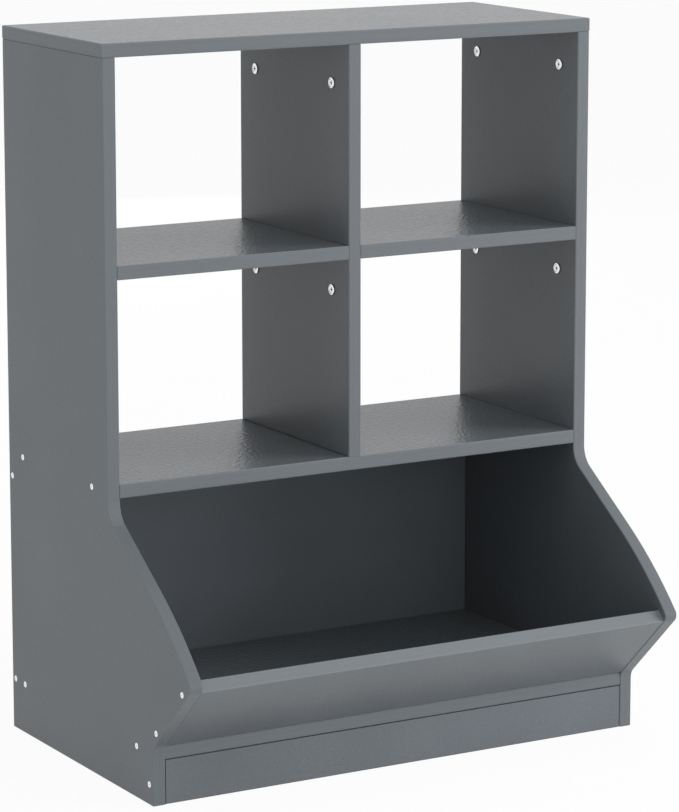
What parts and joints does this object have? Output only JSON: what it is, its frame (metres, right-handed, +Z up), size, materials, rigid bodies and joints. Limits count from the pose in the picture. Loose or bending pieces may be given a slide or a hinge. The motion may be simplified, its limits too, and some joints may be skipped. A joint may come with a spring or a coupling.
{
  "type": "toy storage organizer with bins",
  "caption": "Freestanding toy storage organizer: open cubbies over a wide open toy bin with a slanted front, between side panels that swell forward, in charcoal laminated board.",
  "frame": {"origin": "on the ground, at the centre of the overall width and depth", "axes": "+Z up from the ground; -Y towards the front, where the cubbies and the bin open; +X to the right as seen from the front"},
  "size_m": [0.6, 0.4278, 0.785],
  "materials": {
    "board_laminate": "particle board faced and edged in matt charcoal-grey melamine with a fine fleck",
    "cam_zinc": "bare die-cast zinc, satin",
    "bolt_steel": "zinc-plated steel",
    "dowel_beech": "bare turned beech",
    "screw_zinc": "bright zinc-plated steel"
  },
  "bodies": {
    "root": {"top_panel": "board_laminate", "side_panel_left": "board_laminate", "side_panel_right": "board_laminate", "centre_divider": "board_laminate", "mid_shelf_left": "board_laminate", "mid_shelf_right": "board_laminate", "lower_shelf": "board_laminate", "bin_back_panel": "board_laminate", "bin_floor": "board_laminate", "bin_front_panel": "board_laminate", "toe_kick": "board_laminate", "side_left_cam_locks": "cam_zinc", "side_right_cam_locks": "cam_zinc", "divider_cam_locks": "cam_zinc", "side_cam_bolts": "bolt_steel", "divider_cam_bolts": "bolt_steel", "top_panel_dowels": "dowel_beech", "shelf_dowels": "dowel_beech", "shelf_through_dowels": "dowel_beech", "divider_foot_dowels": "dowel_beech", "toe_kick_dowels": "dowel_beech", "lower_shelf_screws": "screw_zinc", "bin_back_screws": "screw_zinc", "bin_floor_screws": "screw_zinc", "bin_front_screws": "screw_zinc", "toe_kick_screws": "screw_zinc"}
  },
  "joints": []
}
